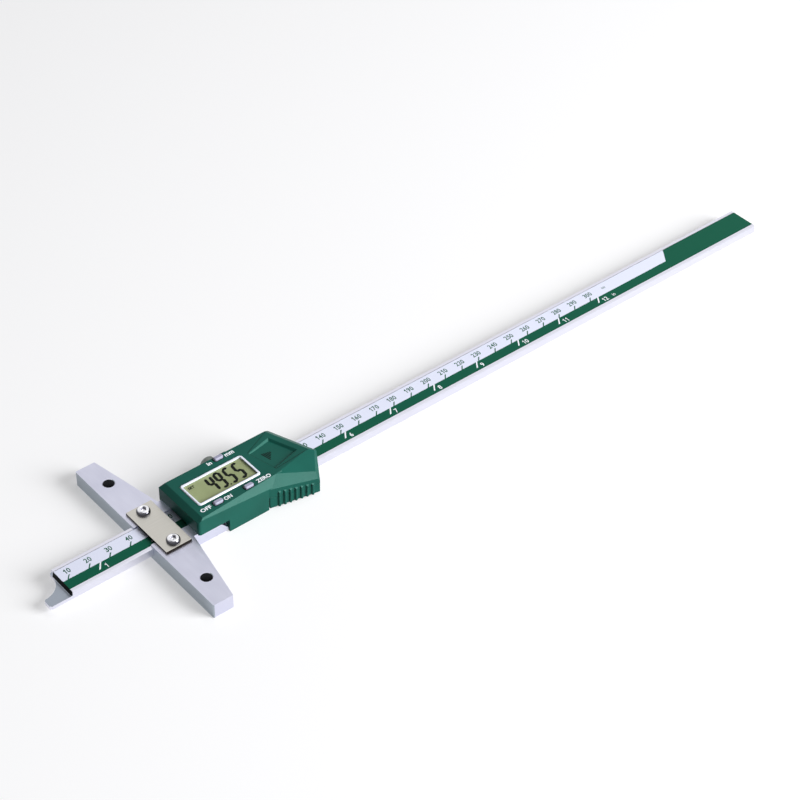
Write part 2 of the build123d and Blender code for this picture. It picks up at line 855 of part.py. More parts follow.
with BuildPart() as board_chip:
    with BuildSketch(Plane.XY.offset(board_top)):
        with Locations((display_x, display_y)):
            Circle(chip_radius)
    extrude(amount=chip_height, taper=30)

# ---------------------------------------------------------------- buttons
foot_bottom = board_top + dome_height + button_travel + slide_gap


def sprung_button(spot):
    """A push button: rounded cap, flange under the roof and a foot over its switch dome."""
    with BuildPart() as button:
        with BuildSketch(Plane.XY.offset(ceiling - seat_gap)):
            with Locations(spot):
                RectangleRounded(button_length, button_width, button_corner)
        extrude(amount=housing_top + button_proud - ceiling + seat_gap)
        chamfer(button.faces().sort_by(Axis.Z)[-1].edges(), button_edge)
        with BuildSketch(Plane.XY.offset(ceiling - seat_gap)):
            with Locations(spot):
                Rectangle(button_length + 2 * button_flange, button_flange_width)
        extrude(amount=-button_flange_height)
        with BuildSketch(Plane.XY.offset(ceiling - seat_gap - button_flange_height)):
            with Locations(spot):
                Circle(button_foot_radius)
        extrude(amount=foot_bottom - ceiling + seat_gap + button_flange_height)
    return button.part


unit_button = sprung_button(button_spots["unit_button"])
power_button = sprung_button(button_spots["power_button"])
zero_button = sprung_button(button_spots["zero_button"])

with BuildPart() as switch_domes:
    with BuildSketch(Plane.XY.offset(board_top)):
        with Locations(*button_spots.values()):
            Circle(dome_radius)
    extrude(amount=dome_height, taper=20)

# ---------------------------------------------------------------- battery
with BuildPart() as thumb_recess:
    with BuildSketch(cover_plane(housing_top - thumb_recess_low)):
        with BuildLine():
            Polyline(
                (-3, thumb_recess_front_span[1]),
                (-3, thumb_recess_front_span[0]),
                (0, thumb_recess_front_span[0]),
                (thumb_recess_length, thumb_recess_rear_span[0]),
                (thumb_recess_length, thumb_recess_rear_span[1]),
                (0, thumb_recess_front_span[1]),
                close=True,
            )
        make_face()
    extrude(amount=2 * thumb_recess_low, taper=-45)
    recess_slope = Plane(
        origin=(cover_origin.X, cover_origin.Y, housing_top - thumb_recess_front),
        x_dir=cover_across,
        z_dir=(
            cover_way.X * (thumb_recess_depth - thumb_recess_front),
            cover_way.Y * (thumb_recess_depth - thumb_recess_front),
            thumb_recess_length,
        ),
    )
    split(bisect_by=recess_slope, keep=Keep.TOP)

with BuildPart() as cover_form:
    with BuildSketch(cover_plane(cover_bottom)):
        add(cover_outline(0))
    extrude(amount=cover_thickness)
    with BuildSketch(cover_plane(lip_bottom)):
        add(cover_outline(0))
        with Locations((cover_length - cover_lip, 0)):
            Rectangle(60, 60, align=(Align.MAX, Align.CENTER), mode=Mode.SUBTRACT)
    extrude(amount=cover_lip_drop)

with BuildPart() as battery_cover:
    add(outer_form)
    add(cover_form.part, mode=Mode.INTERSECT)
    with BuildSketch(cover_plane(cover_bottom)):
        add(tongue_outline(0))
    extrude(amount=cover_tongue_height)
    add(thumb_recess.part, mode=Mode.SUBTRACT)

with BuildPart() as coin_cell:
    with BuildSketch(cover_plane(cell_bottom)):
        with Locations(cell_place):
            Circle(cell_radius)
    extrude(amount=cell_height)
    chamfer(coin_cell.edges(), 0.3)

with BuildPart() as negative_contact:
    y = contact_y - contact_spread / 2
    block(
        (contact_bend, cell_spot.X + 1),
        (y - contact_width / 2, y + contact_width / 2),
        (bay_bottom, cell_bottom),
    )
    block(
        (contact_bend, contact_bend + contact_thickness),
        (y - contact_width / 2, y + contact_width / 2),
        (bay_bottom, board_top + contact_thickness),
    )
    block(
        (board_rear - contact_foot, contact_bend + contact_thickness),
        (y - contact_width / 2, y + contact_width / 2),
        (board_top, board_top + contact_thickness),
    )

with BuildPart() as positive_contact:
    y = contact_y + contact_spread / 2
    block(
        (board_rear - contact_foot, cell_front - slide_gap),
        (y - contact_width / 2, y + contact_width / 2),
        (board_top, board_top + contact_thickness),
    )
    block(
        (cell_front - slide_gap - contact_thickness, cell_front - slide_gap),
        (y - contact_width / 2, y + contact_width / 2),
        (board_top, cell_bottom + cell_height - 1),
    )

# ---------------------------------------------------------------- one file for each piece
pieces = {
    "beam": beam.part,
    "grating_strip": grating_strip.part,
    "scale_film": scale_film.part,
    "base": base.part,
    "gib": gib.part,
    "gib_screws": gib_screws.part,
    "bridge_plate": bridge_plate.part,
    "plate_screws": plate_screws.part,
    "lock_screw": lock_screw.part,
    "housing": housing.part,
    "thumb_grip": thumb_grip.part,
    "port_plug": port_plug.part,
    "housing_screws": housing_screws.part,
    "display_bezel": display_bezel.part,
    "display_window": display_window.part,
    "lcd": lcd.part,
    "contact_strips": contact_strips.part,
    "circuit_board": circuit_board.part,
    "board_chip": board_chip.part,
    "unit_button": unit_button,
    "power_button": power_button,
    "zero_button": zero_button,
    "switch_domes": switch_domes.part,
    "battery_cover": battery_cover.part,
    "coin_cell": coin_cell.part,
    "negative_contact": negative_contact.part,
    "positive_contact": positive_contact.part,
}
for name, piece in pieces.items():
    piece.label = name
    export_step(piece, "parts/" + name + ".step")
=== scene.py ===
# %% [markdown]
# # Dressing a digital depth gauge
# The object is a flat steel beam with a printed scale that slides through a ground cross base.
# A green moulded housing with a display rides on the base. The solids come from the CAD frame
# with their true size and place. This lesson gives them their finishes and adds what is too fine
# for the solids: the print on the scale, the digits of the display, the lettering beside the
# buttons, the knurling of the clamp screw and the hatched arrow on the battery cover.

# %% Load the CAD frame
import json
import math

import bpy
from mathutils import Matrix, Vector

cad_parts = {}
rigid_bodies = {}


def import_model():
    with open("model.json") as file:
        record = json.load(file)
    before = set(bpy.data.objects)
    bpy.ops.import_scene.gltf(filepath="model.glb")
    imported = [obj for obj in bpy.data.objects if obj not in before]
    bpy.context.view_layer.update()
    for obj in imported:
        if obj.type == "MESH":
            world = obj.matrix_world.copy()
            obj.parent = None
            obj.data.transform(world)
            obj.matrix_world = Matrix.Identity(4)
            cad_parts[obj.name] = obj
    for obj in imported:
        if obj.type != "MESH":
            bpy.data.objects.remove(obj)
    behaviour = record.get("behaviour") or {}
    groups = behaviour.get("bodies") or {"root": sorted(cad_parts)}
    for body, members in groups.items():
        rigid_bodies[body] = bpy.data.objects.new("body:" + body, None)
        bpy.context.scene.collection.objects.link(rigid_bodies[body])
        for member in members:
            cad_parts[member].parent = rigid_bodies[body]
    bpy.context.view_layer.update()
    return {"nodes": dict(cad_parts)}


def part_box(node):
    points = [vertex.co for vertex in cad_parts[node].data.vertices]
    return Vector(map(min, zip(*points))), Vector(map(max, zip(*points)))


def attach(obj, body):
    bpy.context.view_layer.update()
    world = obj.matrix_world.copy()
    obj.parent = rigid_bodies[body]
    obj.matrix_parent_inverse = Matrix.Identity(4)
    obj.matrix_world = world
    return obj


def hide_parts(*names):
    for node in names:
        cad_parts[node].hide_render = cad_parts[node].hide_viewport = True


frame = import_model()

MM = 0.001
nodes = frame["nodes"]

# %% [markdown]
# ## Camera
# A small instrument is pictured from the side of its nose, looking down at about forty degrees
# with a long lens, so that the beam hardly narrows towards its far end. The camera could be
# dragged into place by hand. Here it is set from the point it aims at, its bearing, its height
# angle and a very slight roll, because each of these can be changed without spoiling the others.

# %% Set the camera
aim = Vector((143.2 * MM, 6.3 * MM, 0.0))
distance = 933.9 * MM
bearing = math.radians(49.43)
height_angle = math.radians(40.90)
roll = math.radians(1.28)
focal_length = 93.64

look = Vector((
    math.cos(bearing) * math.cos(height_angle),
    math.sin(bearing) * math.cos(height_angle),
    -math.sin(height_angle),
))
level = Vector((math.sin(bearing), -math.cos(bearing), 0.0))
upright = level.cross(look)
camera_right = level * math.cos(roll) + upright * math.sin(roll)
camera_up = upright * math.cos(roll) - level * math.sin(roll)

camera_data = bpy.data.cameras.new("camera")
camera_data.lens = focal_length
camera_data.sensor_width = 36.0
camera_data.clip_start = 0.05
camera_data.clip_end = 20.0
camera = bpy.data.objects.new("camera", camera_data)
facing = Matrix((camera_right, camera_up, -look)).transposed().to_4x4()
camera.matrix_world = Matrix.Translation(aim - look * distance) @ facing
bpy.context.scene.collection.objects.link(camera)
bpy.context.scene.camera = camera
print("camera stands at", [round(v, 3) for v in camera.location])

# %% [markdown]
# ## Colours and nodes
# Colours are written as sRGB hex values, as a colour picker shows them, and one function turns
# them to the linear values that Blender works with. Another adds a node with its settings and
# links, so that each material below reads as a short list of nodes. What is the same all over a
# surface is set on the Principled shader's own sockets, and only what wanders is linked to it.


# %% Helpers for colours, nodes and materials
def colour(hex_value, alpha=1.0):
    """A linear colour from an sRGB hex value such as #24564F."""
    parts = [int(hex_value[i:i + 2], 16) / 255 for i in (1, 3, 5)]
    linear = [p / 12.92 if p <= 0.04045 else ((p + 0.055) / 1.055) ** 2.4 for p in parts]
    return (*linear, alpha)


def add_node(material, kind, inputs=None, **settings):
    """Add a node, set its settings, and give each named input a value or another node's socket."""
    node = material.node_tree.nodes.new(kind)
    for name, value in settings.items():
        setattr(node, name, value)
    for name, value in (inputs or {}).items():
        if isinstance(value, bpy.types.NodeSocket):
            material.node_tree.links.new(value, node.inputs[name])
        else:
            node.inputs[name].default_value = value
    return node


def new_material(name, **constants):
    """A material and its Principled shader, whose sockets are named with underscores for spaces."""
    material = bpy.data.materials.new(name)
    material.use_nodes = True
    material.node_tree.nodes.clear()
    shader = add_node(material, "ShaderNodeBsdfPrincipled")
    add_node(material, "ShaderNodeOutputMaterial", {"Surface": shader.outputs["BSDF"]})
    for socket, value in constants.items():
        shader.inputs[socket.replace("_", " ")].default_value = value
    return material, shader


def feed(material, shader, **links):
    """Join sockets to the shader's inputs, named with underscores for spaces."""
    for name, socket in links.items():
        material.node_tree.links.new(socket, shader.inputs[name.replace("_", " ")])


def dress(material, *names):
    """Put a material on CAD nodes."""
    for name in names:
        mesh = nodes[name].data
        mesh.materials.clear()
        mesh.materials.append(material)
    print(material.name, "on", ", ".join(names))


# %% [markdown]
# ## Patterns that stay on the piece
# A real finish is never even: grinding leaves lines, a mould leaves grain, ink lies in mottles.
# Each pattern here is a noise in the piece's own coordinates, so it travels with a piece that
# slides, and its marks are given in millimetres. The same value then drives the colour, the
# roughness and the relief, because on a real surface one mark changes all three.


# %% Helpers that lay a pattern on a piece
def own_axes(material, which="Object"):
    """The place (Object) or the direction (Normal) of each point, in the piece's own axes."""
    return add_node(material, "ShaderNodeTexCoord").outputs[which]


def along_axes(material, which="Object"):
    """The place or the direction as three separate values, X, Y and Z."""
    return add_node(material, "ShaderNodeSeparateXYZ", {"Vector": own_axes(material, which)}).outputs


def speckle(material, size, detail=2.0):
    """A value that wanders over the piece in patches of about a given size."""
    noise = add_node(material, "ShaderNodeTexNoise", {
        "Vector": own_axes(material), "Scale": 1 / size, "Detail": detail,
    })
    return noise.outputs["Fac"]


def brushing(material, mark, detail, roughness):
    """A value that draws out marks, whose size is given along X, Y and Z."""
    lay = add_node(material, "ShaderNodeMapping", {
        "Vector": own_axes(material), "Scale": [1 / size for size in mark],
    })
    noise = add_node(material, "ShaderNodeTexNoise", {
        "Vector": lay.outputs["Vector"], "Scale": 1.0, "Detail": detail, "Roughness": roughness,
    })
    return noise.outputs["Fac"]


# %% Helpers that turn a pattern into a finish
def two_tone(material, value, first, second, low=0.0, high=1.0):
    """A colour that goes from one to another while a value goes from low to high."""
    ramp = add_node(material, "ShaderNodeValToRGB", {"Fac": value})
    start, end = ramp.color_ramp.elements
    start.position = low
    start.color = colour(first)
    end.position = high
    end.color = colour(second)
    return ramp.outputs["Color"]


def shine(material, value, smooth, rough, low=0.0, high=1.0):
    """A roughness that goes from smooth to rough while a value goes from low to high."""
    spread = add_node(material, "ShaderNodeMapRange", {
        "Value": value, "From Min": low, "From Max": high, "To Min": smooth, "To Max": rough,
    })
    return spread.outputs["Result"]


def relief(material, height, strength, depth, **more):
    """A bumped normal from a height value."""
    bump = add_node(material, "ShaderNodeBump", {
        "Height": height, "Strength": strength, "Distance": depth, **more,
    })
    return bump.outputs["Normal"]


# %% Helpers that tell one part of a piece from another
def calculate(material, operation, *values):
    """The result of a sum or a comparison of sockets and numbers."""
    return add_node(material, "ShaderNodeMath", dict(enumerate(values)), operation=operation).outputs[0]


def blend(material, share, first, second):
    """The first colour where the share is 0 and the second where it is 1."""
    # a Mix node for colours takes them in its sockets 6 and 7 and gives the blend in socket 2
    mix = add_node(material, "ShaderNodeMix", {0: share, 6: first, 7: second}, data_type="RGBA")
    return mix.outputs[2]


# %% [markdown]
# ## Ground steel
# The base and slider are one piece of hardened steel, surface-ground all over. Grinding leaves
# fine straight lines along the long way of the base. The metal reflects the pale surroundings
# softly, so it reads as a cool light grey that changes from face to face. A stretched noise stands
# for the grinding lines: real ones are a few hundredths of a millimetre apart, and are drawn
# coarser here so that they show. The faces towards the nose are painted greyer, as painted shade.

# %% Make the ground steel
ground_steel, shader = new_material("surface_ground_steel", Metallic=1.0)
lines = brushing(ground_steel, (0.35 * MM, 9 * MM, 0.35 * MM), 3.0, 0.6)
clouds = speckle(ground_steel, 18 * MM)
ground = two_tone(ground_steel, clouds, "#DCDDEF", "#E5E6F7", 0.3, 0.7)
# painted shade: faces that look towards the nose (-X) get the greyer colour #AEB7C0
painted_shade_towards_nose = calculate(ground_steel, "LESS_THAN", along_axes(ground_steel, "Normal")["X"], -0.7)
feed(ground_steel, shader,
     Base_Color=blend(ground_steel, painted_shade_towards_nose, ground, colour("#AEB7C0")),
     Roughness=shine(ground_steel, lines, 0.34, 0.46, 0.3, 0.7),
     Normal=relief(ground_steel, lines, 0.3, 0.02 * MM))
dress(ground_steel, "base")

# %% [markdown]
# ## Beam steel
# The beam is the same steel, drawn flat and ground along its length, with a satin chrome finish
# that is a little whiter and smoother than the base, so its lines run along X. The step of the
# nose is ground after plating, and its top is bare and greyer. That could be a second material
# on some faces, but the solid's faces stay as they are and a test of the place does the same.

# %% Make the beam steel
film_low, film_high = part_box("scale_film")
step_top = 4.6 * MM
beam_steel, shader = new_material("satin_chromed_steel", Metallic=1.0)
lines = brushing(beam_steel, (25 * MM, 0.3 * MM, 0.3 * MM), 3.0, 0.55)
chromed = two_tone(beam_steel, lines, "#E8E8F7", "#F1F1FB", 0.25, 0.75)
place = along_axes(beam_steel)
in_front = calculate(beam_steel, "LESS_THAN", place["X"], film_low.x - 0.01 * MM)
on_step = calculate(beam_steel, "GREATER_THAN", place["Z"], step_top - 0.02 * MM)
bare = calculate(beam_steel, "MULTIPLY", in_front, on_step)
feed(beam_steel, shader,
     Base_Color=blend(beam_steel, bare, chromed, colour("#A9B1BD")),
     Roughness=shine(beam_steel, lines, 0.30, 0.40, 0.3, 0.7),
     Normal=relief(beam_steel, lines, 0.08, 0.02 * MM))
dress(beam_steel, "beam")

# %% [markdown]
# ## Bridge plate
# The plate over the channel is stainless sheet, brushed across its short way by a belt. The
# brushing is coarser than the grinding, and the sheet has a warm, creamy cast. Its side faces are
# painted dark as painted shade, and the direction of a face tells them from the brushed top.

# %% Make the brushed plate
plate_steel, shader = new_material("brushed_stainless_sheet", Metallic=1.0)
lines = brushing(plate_steel, (12 * MM, 0.25 * MM, 0.25 * MM), 4.0, 0.7)
brushed = two_tone(plate_steel, lines, "#D0CDC5", "#E2DFD8", 0.25, 0.75)
# painted shade: the side faces of the plate are painted dark, #3A332C
upward = calculate(plate_steel, "ABSOLUTE", along_axes(plate_steel, "Normal")["Z"])
painted_shade_on_sides = calculate(plate_steel, "LESS_THAN", upward, 0.3)
feed(plate_steel, shader,
     Base_Color=blend(plate_steel, painted_shade_on_sides, brushed, colour("#3A332C")),
     Roughness=shine(plate_steel, lines, 0.30, 0.44, 0.3, 0.7),
     Normal=relief(plate_steel, lines, 0.2, 0.02 * MM))
dress(plate_steel, "bridge_plate")

# %% [markdown]
# ## Housing plastic
# The housing, thumb grip, battery cover and port plug are moulded ABS in a deep green. The mould
# was spark-eroded, which gives the faces a fine even grain and a soft sheen. Moulded edges are a
# hair rounder than the solids have them. Bevelling the mesh would round them too, but the Bevel
# node rounds only the light there and leaves the solids' meshes alone.

# %% Make the green ABS
green_abs, shader = new_material("moulded_green_abs", IOR=1.52, Specular_IOR_Level=0.2,
                                 Specular_Tint=colour("#C4F0E8"))
grain = speckle(green_abs, 0.35 * MM)
flow = speckle(green_abs, 14 * MM, detail=1.0)
round_edge = add_node(green_abs, "ShaderNodeBevel", {"Radius": 0.22 * MM}, samples=4)
feed(green_abs, shader,
     Base_Color=two_tone(green_abs, flow, "#0A4A40", "#0E5247", 0.3, 0.7),
     Roughness=shine(green_abs, grain, 0.36, 0.48, 0.3, 0.7),
     Normal=relief(green_abs, grain, 0.10, 0.03 * MM, Normal=round_edge.outputs["Normal"]))
dress(green_abs, "housing", "thumb_grip", "port_plug", "battery_cover")

# %% [markdown]
# ## Polished screws
# The plate screws are polished steel, almost a mirror. Their colour is a painted reflection:
# the steepness of the surface alone moves it from dark on the steep sides to bright on the flat
# of the head.

# %% Make the polished steel
polished_steel, shader = new_material("polished_stainless_screw", Metallic=1.0)
# painted reflection and shade: the colour goes from dark to bright as the face turns upwards
upward = along_axes(polished_steel, "Normal")["Z"]
feed(polished_steel, shader,
     Base_Color=two_tone(polished_steel, upward, "#4E4E54", "#EDEDF2", 0.70, 0.97),
     Roughness=shine(polished_steel, speckle(polished_steel, 0.8 * MM), 0.08, 0.14, 0.3, 0.7))
print(polished_steel.name, "is kept for the drawn screw heads")

# %% [markdown]
# ## Blackened screws
# The socket screws below and at the side are blackened by oxide, which is nearly black with a
# dull, oily sheen. A metallic value short of 1 mixes the two looks of thin oxide over steel.

# %% Make the black oxide
# the same finish also goes on the threads of the base holes, where its black is painted shade
black_oxide_and_hole_shade, shader = new_material("black_oxide_steel", Metallic=0.6)
patches = speckle(black_oxide_and_hole_shade, 1.2 * MM, detail=3.0)
feed(black_oxide_and_hole_shade, shader,
     Base_Color=two_tone(black_oxide_and_hole_shade, patches, "#17181B", "#2B2C31"),
     Roughness=shine(black_oxide_and_hole_shade, patches, 0.35, 0.55))
dress(black_oxide_and_hole_shade, "gib_screws", "housing_screws")

# %% [markdown]
# ## Nickel plate
# The clamp screw, the button cell and its contacts are nickel-plated steel, greyer than chrome
# and worn a little uneven by fingers. One fine noise moves both tone and roughness, because a
# worn spot on plating is darker and duller at once.

# %% Make the nickel plate
nickel_steel, shader = new_material("nickel_plated_steel", Metallic=1.0)
marks = speckle(nickel_steel, 0.6 * MM, detail=3.0)
feed(nickel_steel, shader,
     Base_Color=two_tone(nickel_steel, marks, "#6E7572", "#8B918D"),
     Roughness=shine(nickel_steel, marks, 0.25, 0.40))
dress(nickel_steel, "lock_screw", "positive_contact", "negative_contact", "coin_cell")

# %% [markdown]
# ## Scale film
# The scale is printed on a polyester film that is glued over the measuring strip. Its far band is
# white with green millimetre numbers, its near band is green with white inch numbers. The fields
# are plain areas of ink, so they are drawn in the material from the position: one edge runs along
# the beam, and the white band ends in a slanted edge past the numbers.

# %% Make the printed film
band_edge = -1.12 * MM
white_end = 304.4 * MM
white_end_slant = -0.72
print_green = ("#004C37", "#025641")
printed_film, shader = new_material("printed_polyester_film", IOR=1.55, Specular_IOR_Level=0.1)
place = along_axes(printed_film)
above_edge = calculate(printed_film, "GREATER_THAN", place["Y"], band_edge)
slanted = calculate(printed_film, "MULTIPLY", place["Y"], white_end_slant)
before_end = calculate(printed_film, "LESS_THAN",
                       calculate(printed_film, "ADD", place["X"], slanted), white_end)
is_white = calculate(printed_film, "MULTIPLY", above_edge, before_end)
mottle = speckle(printed_film, 0.5 * MM)
green_field = two_tone(printed_film, mottle, *print_green)
white_field = two_tone(printed_film, mottle, "#DCE0F4", "#E5E9FA")
feed(printed_film, shader,
     Base_Color=blend(printed_film, is_white, green_field, white_field),
     Roughness=shine(printed_film, mottle, 0.38, 0.48))
dress(printed_film, "scale_film")
print("film runs from", round(film_low.x / MM, 2), "to", round(film_high.x / MM, 2), "mm")

# %% [markdown]
# ## Strip laminate
# The strip below the film is a woven glass laminate whose edge hardly shows. A wave texture
# stands for the weave, because it repeats as threads do.

# %% Make the laminate
laminate, shader = new_material("woven_glass_laminate", IOR=1.55)
weave = add_node(laminate, "ShaderNodeTexWave", {
    "Vector": own_axes(laminate), "Scale": 1 / (2.4 * MM), "Distortion": 1.0, "Detail": 1.0,
}).outputs["Fac"]
feed(laminate, shader,
     Base_Color=two_tone(laminate, weave, "#191E1B", "#262C27"),
     Roughness=shine(laminate, weave, 0.45, 0.6))
dress(laminate, "grating_strip")

# %% [markdown]
# ## Display frame and window
# The bezel is white gloss ABS. The window is clear acrylic, kept thin and almost invisible so that
# the display reads through it: glass with true refraction would be slower and hide the digits
# behind its own reflections, so a low alpha does the same work.

# %% Make the gloss ABS and the acrylic
white_abs, shader = new_material("white_gloss_abs", IOR=1.52)
ripple = speckle(white_abs, 3 * MM, detail=1.0)
feed(white_abs, shader,
     Base_Color=two_tone(white_abs, ripple, "#E0E5F4", "#E8ECF9"),
     Roughness=shine(white_abs, ripple, 0.22, 0.32))
dress(white_abs, "display_bezel")

clear_acrylic, shader = new_material("clear_acrylic", IOR=1.49, Alpha=0.06, Specular_IOR_Level=0.2)
smear = speckle(clear_acrylic, 6 * MM)
feed(clear_acrylic, shader,
     Base_Color=two_tone(clear_acrylic, smear, "#3A3F36", "#454A40"),
     Roughness=shine(clear_acrylic, smear, 0.04, 0.12))
dress(clear_acrylic, "display_window")

# %% [markdown]
# ## Polariser
# The face of a liquid-crystal display is an olive polariser film over a grey mirror. It has a
# soft, slightly uneven tone and very little gloss of its own. A glow could stand for its
# brightness, but such a display has no light inside, so it is an ordinary dull surface here.

# %% Make the polariser
polariser, shader = new_material("olive_polariser_film", IOR=1.5, Specular_IOR_Level=0.2)
haze = speckle(polariser, 9 * MM)
feed(polariser, shader,
     Base_Color=two_tone(polariser, haze, "#959F74", "#9FA97E", 0.3, 0.7),
     Roughness=shine(polariser, haze, 0.35, 0.5))
dress(polariser, "lcd")

# %% [markdown]
# ## Button caps
# The caps are matt lavender-grey ABS with a fine mould grain, duller than the bezel. They are
# made as the housing is, from a grain and two close tones, without the rounded light: a cap is
# so small that its own edges already catch enough of it.

# %% Make the cap plastic
cap_abs, shader = new_material("lilac_grey_abs", Specular_IOR_Level=0.3)
grain = speckle(cap_abs, 0.4 * MM)
feed(cap_abs, shader,
     Base_Color=two_tone(cap_abs, grain, "#9696AC", "#A2A2B8"),
     Roughness=shine(cap_abs, grain, 0.40, 0.50))
dress(cap_abs, "unit_button", "power_button", "zero_button")

# %% [markdown]
# ## Inner pieces
# Inside are strips and domes of carbon rubber under the display and the buttons, a green-masked
# circuit board with its chip under black resin, and a brass strip that takes up the beam's play.
# They show only when the battery cover is off or the gauge is taken apart, so each finish is one
# pattern and one roughness.

# %% Make the inner finishes
carbon_rubber, shader = new_material("carbon_silicone_rubber", Roughness=0.7)
layers = add_node(carbon_rubber, "ShaderNodeTexWave", {
    "Vector": own_axes(carbon_rubber), "Scale": 1 / (1.2 * MM),
}).outputs["Fac"]
feed(carbon_rubber, shader, Base_Color=two_tone(carbon_rubber, layers, "#2A2528", "#8E6E72"))
dress(carbon_rubber, "contact_strips", "switch_domes")

solder_mask, shader = new_material("green_solder_mask", Roughness=0.3)
tracks = add_node(solder_mask, "ShaderNodeTexBrick", {
    "Vector": own_axes(solder_mask), "Scale": 1 / (4 * MM), "Mortar Size": 0.03,
    "Color1": colour("#0C5B2B"), "Color2": colour("#0F6632"), "Mortar": colour("#2B8A4A"),
})
feed(solder_mask, shader, Base_Color=tracks.outputs["Color"])
dress(solder_mask, "circuit_board")

resin, shader = new_material("black_epoxy_resin", Roughness=0.25)
flow = speckle(resin, 2 * MM, detail=1.0)
feed(resin, shader, Base_Color=two_tone(resin, flow, "#101013", "#1B1B1F"))
dress(resin, "board_chip")

brass, shader = new_material("milled_brass", Metallic=1.0, Roughness=0.35)
marks = speckle(brass, 1 * MM, detail=3.0)
feed(brass, shader, Base_Color=two_tone(brass, marks, "#B08D45", "#C9A85E"))
dress(brass, "gib")

# %% [markdown]
# ## Print as thin geometry
# Numbers, strokes and letters are real shapes, about a hundredth of a millimetre thick, laid on
# their surface. Screen-printed ink has about that thickness, and edges stay crisp at any
# distance, which an image of the print would not give. Everything starts as a block or as a text
# object, is turned into a mesh, and gets its place in that mesh.


# %% Helpers for blocks and thin bars
INK = 0.012 * MM


def deselect():
    """Let go of everything, because an operator acts on all that is selected."""
    bpy.ops.object.select_all(action="DESELECT")


def settle(piece):
    """Apply an object's place, turn and scale to its mesh."""
    deselect()
    piece.select_set(True)
    bpy.context.view_layer.objects.active = piece
    bpy.ops.object.transform_apply(location=True, rotation=True, scale=True)
    return piece


def block(size, centre, turn=(0, 0, 0)):
    """A block with a size along X, Y and Z, turned about its centre."""
    deselect()
    bpy.ops.mesh.primitive_cube_add(size=1, location=(0, 0, 0))
    piece = bpy.context.object
    piece.scale = size
    piece.rotation_euler = turn
    piece.location = centre
    return settle(piece)


def thin_bar(start, end, width, z):
    """A bar as thick as ink, from one point of a flat face to another."""
    run = Vector(end) - Vector(start)
    middle = (Vector(start) + Vector(end)) / 2
    return block((run.length, width, INK), (*middle, z + INK / 2), (0, 0, math.atan2(run.y, run.x)))


# %% Helpers for copies and finished pieces
def copy_to(source, x, y, z=0.0):
    """A copy with its own mesh, shifted to its place."""
    twin = source.copy()
    twin.data = source.data.copy()
    twin.data.transform(Matrix.Translation((x, y, z)))
    bpy.context.scene.collection.objects.link(twin)
    return twin


def discard(*patterns):
    """Remove the objects that copies were taken from."""
    for pattern in patterns:
        bpy.data.objects.remove(pattern)


def join(pieces, name):
    """Join pieces into one and name it."""
    deselect()
    for piece in pieces:
        piece.select_set(True)
    bpy.context.view_layer.objects.active = pieces[0]
    if len(pieces) > 1:
        bpy.ops.object.join()
    pieces[0].name = name
    pieces[0].data.name = name
    return pieces[0]


def finish_piece(piece, material, body):
    """Give a joined piece its finish and its body."""
    piece.data.materials.clear()
    piece.data.materials.append(material)
    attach(piece, body)
    print(piece.name, "-", len(piece.data.polygons), "faces")


# %% [markdown]
# ## Inks
# Screen inks are nearly matt and a little uneven. The same green prints the band and the
# millimetre numbers, and the same white prints the inch numbers and the words on the housing, so
# one function mixes both.


# %% Make the inks
def screen_ink(name, first, second):
    """A matt ink that wavers between two close colours."""
    ink, shader = new_material(name, Roughness=0.45)
    feed(ink, shader, Base_Color=two_tone(ink, speckle(ink, 0.5 * MM), first, second))
    return ink


green_print = screen_ink("green_screen_ink", *print_green)
white_print = screen_ink("white_screen_ink", "#EEF1FA", "#F8FAFF")
print("inks:", green_print.name, "and", white_print.name)

# %% [markdown]
# ## Scale strokes and numbers
# Each stroke is one slanted bar that starts on the edge between the bands. It is modelled once,
# as a block whose far end is slid along, and copied to every ten millimetres, or to every inch
# for the white strokes, which hang down into the green band. The numerals are modelled once as
# well, because thirty numbers set one by one would each turn the same few letters into meshes.
# The font's 1 has a foot that the print lacks, so it is a stem with a slanted flag.


# %% Helper for lettering
def lettering(words, left, bottom, width, height, z, bold=0.0):
    """Words as thin flat shapes of a given width and height, from a lower left corner at z."""
    deselect()
    bpy.ops.object.text_add(location=(0, 0, 0))
    text = bpy.context.object
    text.data.body = words
    text.data.size = 1.0
    text.data.offset = bold
    text.data.resolution_u = 3
    text.data.extrude = 0.5
    bpy.ops.object.convert(target="MESH")
    low = Vector([min(v.co[i] for v in text.data.vertices) for i in range(3)])
    high = Vector([max(v.co[i] for v in text.data.vertices) for i in range(3)])
    text.scale = (width / (high.x - low.x), height / (high.y - low.y), INK)
    text.location = (left - low.x * text.scale.x, bottom - low.y * text.scale.y, z + INK / 2)
    return settle(text)


# %% Helpers for the scale
film_top = film_high.z


def slanted_stroke(width, height, slide):
    """A thin bar that stands on y = 0, or hangs from it if its height is negative."""
    bar = block((width, abs(height), INK), (0, height / 2, film_top + INK / 2))
    for vertex in bar.data.vertices:
        if abs(vertex.co.y - height) < abs(height) / 4:
            vertex.co.x += slide
    return bar


def numerals(width, height, bold):
    """The ten numerals, modelled once each."""
    shapes = {}
    for sign in "023456789":
        shapes[sign] = lettering(sign, 0, 0, width, height, film_top, bold)
    thickness = (0.13 + bold) * height
    stem_x = 0.62 * width
    flag_top = (stem_x, 0.93 * height)
    flag_foot = (0.20 * width, 0.66 * height)
    stem = thin_bar((stem_x, 0), (stem_x, height), thickness, film_top)
    flag = thin_bar(flag_top, flag_foot, thickness, film_top)
    shapes["1"] = join([stem, flag], "one")
    return shapes


def number(shapes, value, left, bottom, pitch):
    """Copies of the numerals of a number, side by side."""
    return [copy_to(shapes[sign], left + order * pitch, bottom)
            for order, sign in enumerate(str(value))]


